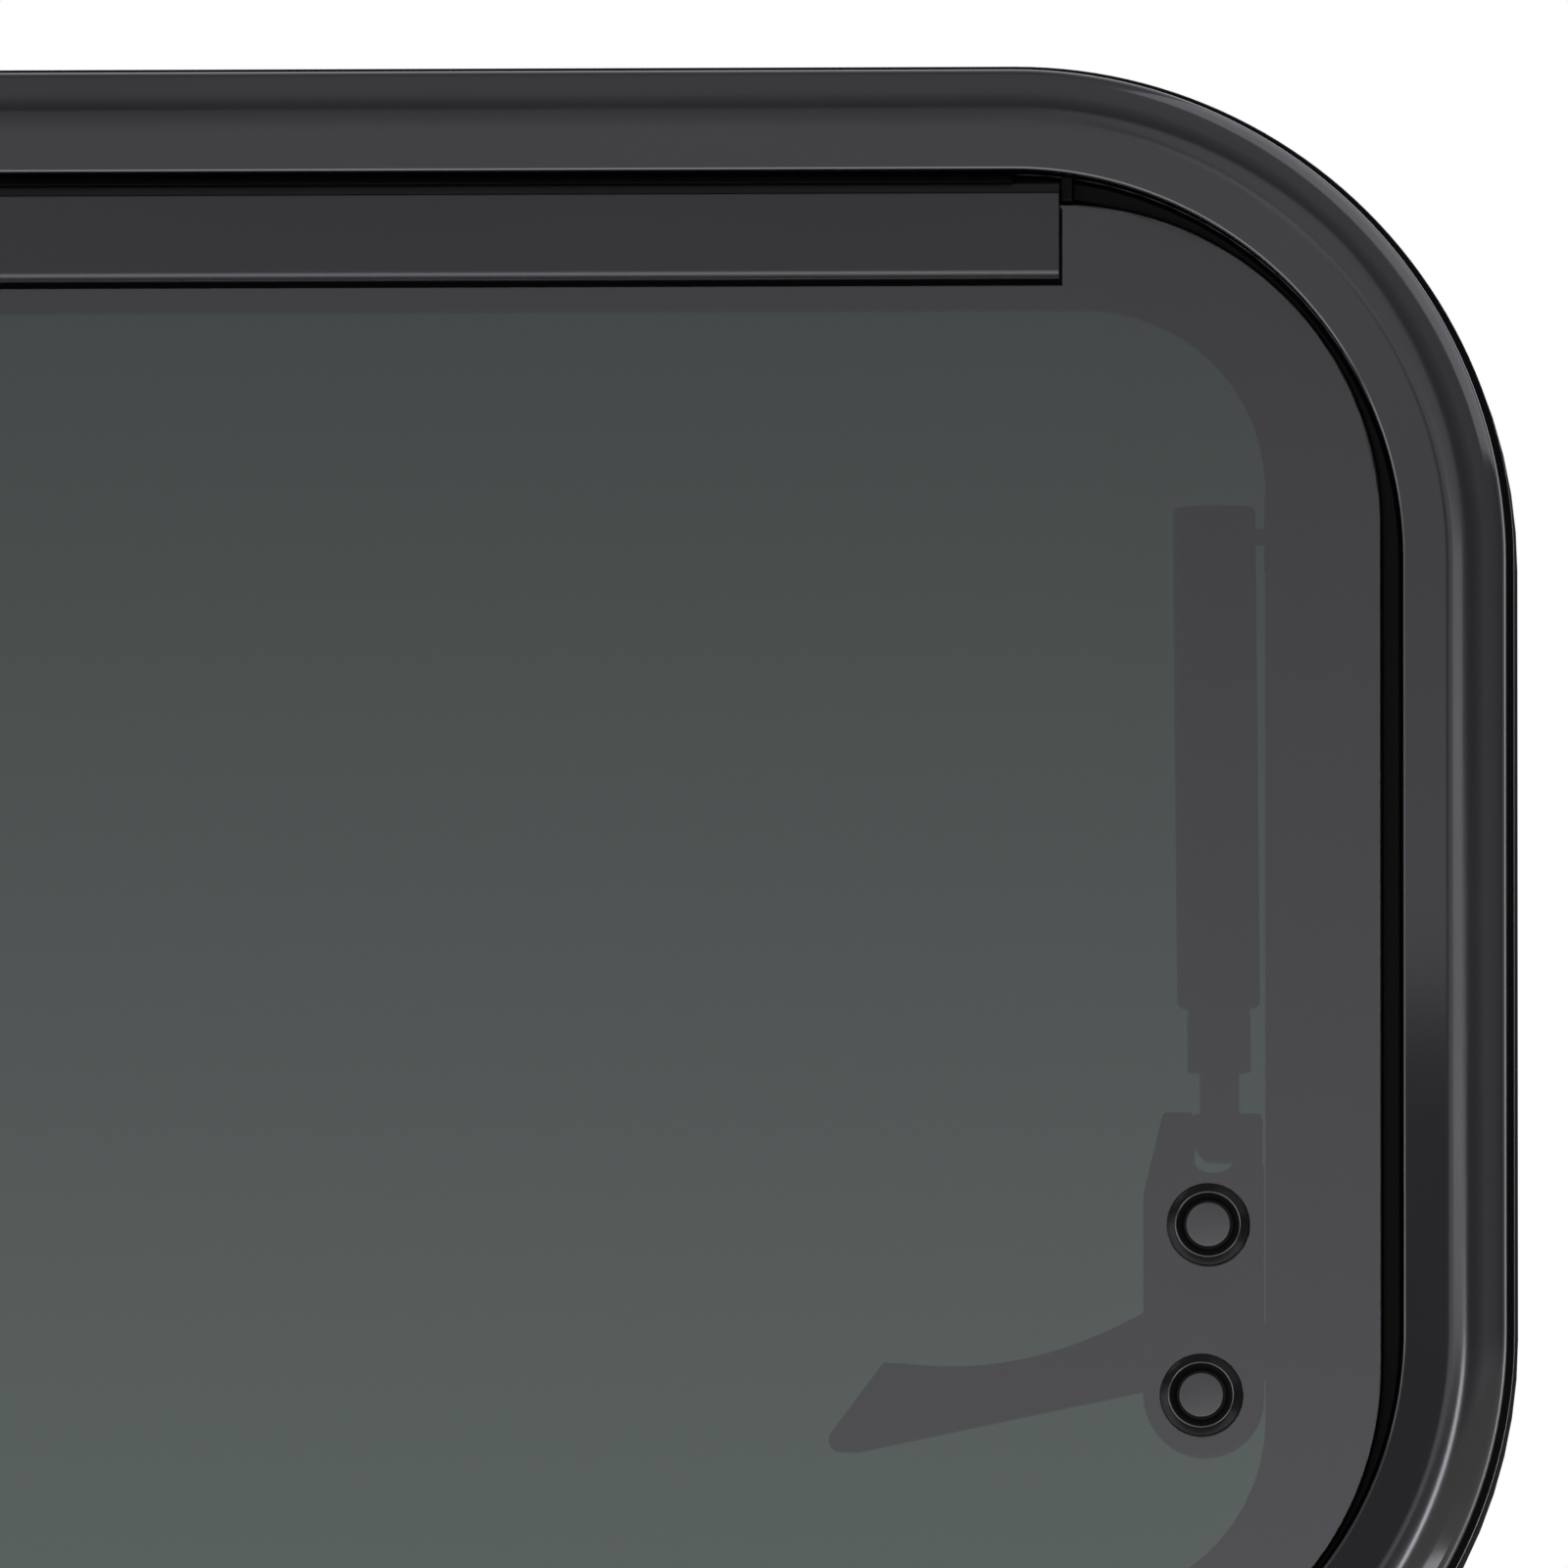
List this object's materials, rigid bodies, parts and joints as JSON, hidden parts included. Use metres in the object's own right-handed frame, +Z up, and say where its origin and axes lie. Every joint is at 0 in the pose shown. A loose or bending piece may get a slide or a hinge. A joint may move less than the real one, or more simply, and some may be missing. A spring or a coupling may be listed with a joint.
{
  "type": "caravan window",
  "caption": "Top-hung caravan window: dark glass pane in a rounded black frame with an inner clamping ring, hinge rail, telescopic stays and lever latches.",
  "frame": {"origin": "on the flat back face of the gasket under the frame's foot, at the middle of the lower rail; this face seats on the vehicle's outer skin", "axes": "+X to the right seen from outside, +Z up, +Y into the vehicle, so the outside faces -Y"},
  "size_m": [0.932, 0.0547, 0.482],
  "materials": {
    "frame_coat": "gloss black coating on aluminium",
    "gasket_rubber": "matt black rubber",
    "seal_rubber": "satin black rubber",
    "privacy_glass": "dark green-grey tempered glass, polished",
    "ring_plastic": "fine grained black plastic",
    "rail_coat": "satin black coating on aluminium",
    "bonding_rubber": "matt black adhesive strip",
    "socket_coat": "satin black coating on aluminium",
    "stop_plastic": "matt black plastic",
    "tube_plastic": "fine grained black plastic",
    "ferrule_plastic": "satin black plastic",
    "rod_metal": "satin dark coating on steel",
    "block_plastic": "fine grained black plastic",
    "bracket_coat": "satin black coating on steel",
    "pin_steel": "bright steel",
    "latch_plastic": "fine grained black plastic",
    "lever_plastic": "satin black plastic",
    "cap_plastic": "gloss black plastic",
    "washer_rubber": "matt black rubber"
  },
  "bodies": {
    "root": {"outer_frame": "frame_coat", "skin_gasket": "gasket_rubber", "glass_seal": "seal_rubber", "glass_pane": "privacy_glass", "inner_ring": "ring_plastic", "hinge_rail": "rail_coat", "hinge_bonding_strip": "bonding_rubber", "hinge_socket_rail": "socket_coat", "hinge_stop_left": "stop_plastic", "stay_tube_left": "tube_plastic", "stay_ferrule_left": "ferrule_plastic", "stay_rod_left": "rod_metal", "stay_end_block_left": "block_plastic", "stay_top_bracket_left": "bracket_coat", "stay_top_pin_left": "pin_steel", "stay_foot_pin_left": "pin_steel", "latch_body_left": "latch_plastic", "latch_lever_left": "lever_plastic", "latch_pivot_pin_left": "pin_steel", "latch_keeper_left": "bracket_coat", "fixing_caps_left": "cap_plastic", "fixing_washers_left": "washer_rubber", "hinge_stop_right": "stop_plastic", "stay_tube_right": "tube_plastic", "stay_ferrule_right": "ferrule_plastic", "stay_rod_right": "rod_metal", "stay_end_block_right": "block_plastic", "stay_top_bracket_right": "bracket_coat", "stay_top_pin_right": "pin_steel", "stay_foot_pin_right": "pin_steel", "latch_body_right": "latch_plastic", "latch_lever_right": "lever_plastic", "latch_pivot_pin_right": "pin_steel", "latch_keeper_right": "bracket_coat", "fixing_caps_right": "cap_plastic", "fixing_washers_right": "washer_rubber"}
  },
  "joints": []
}
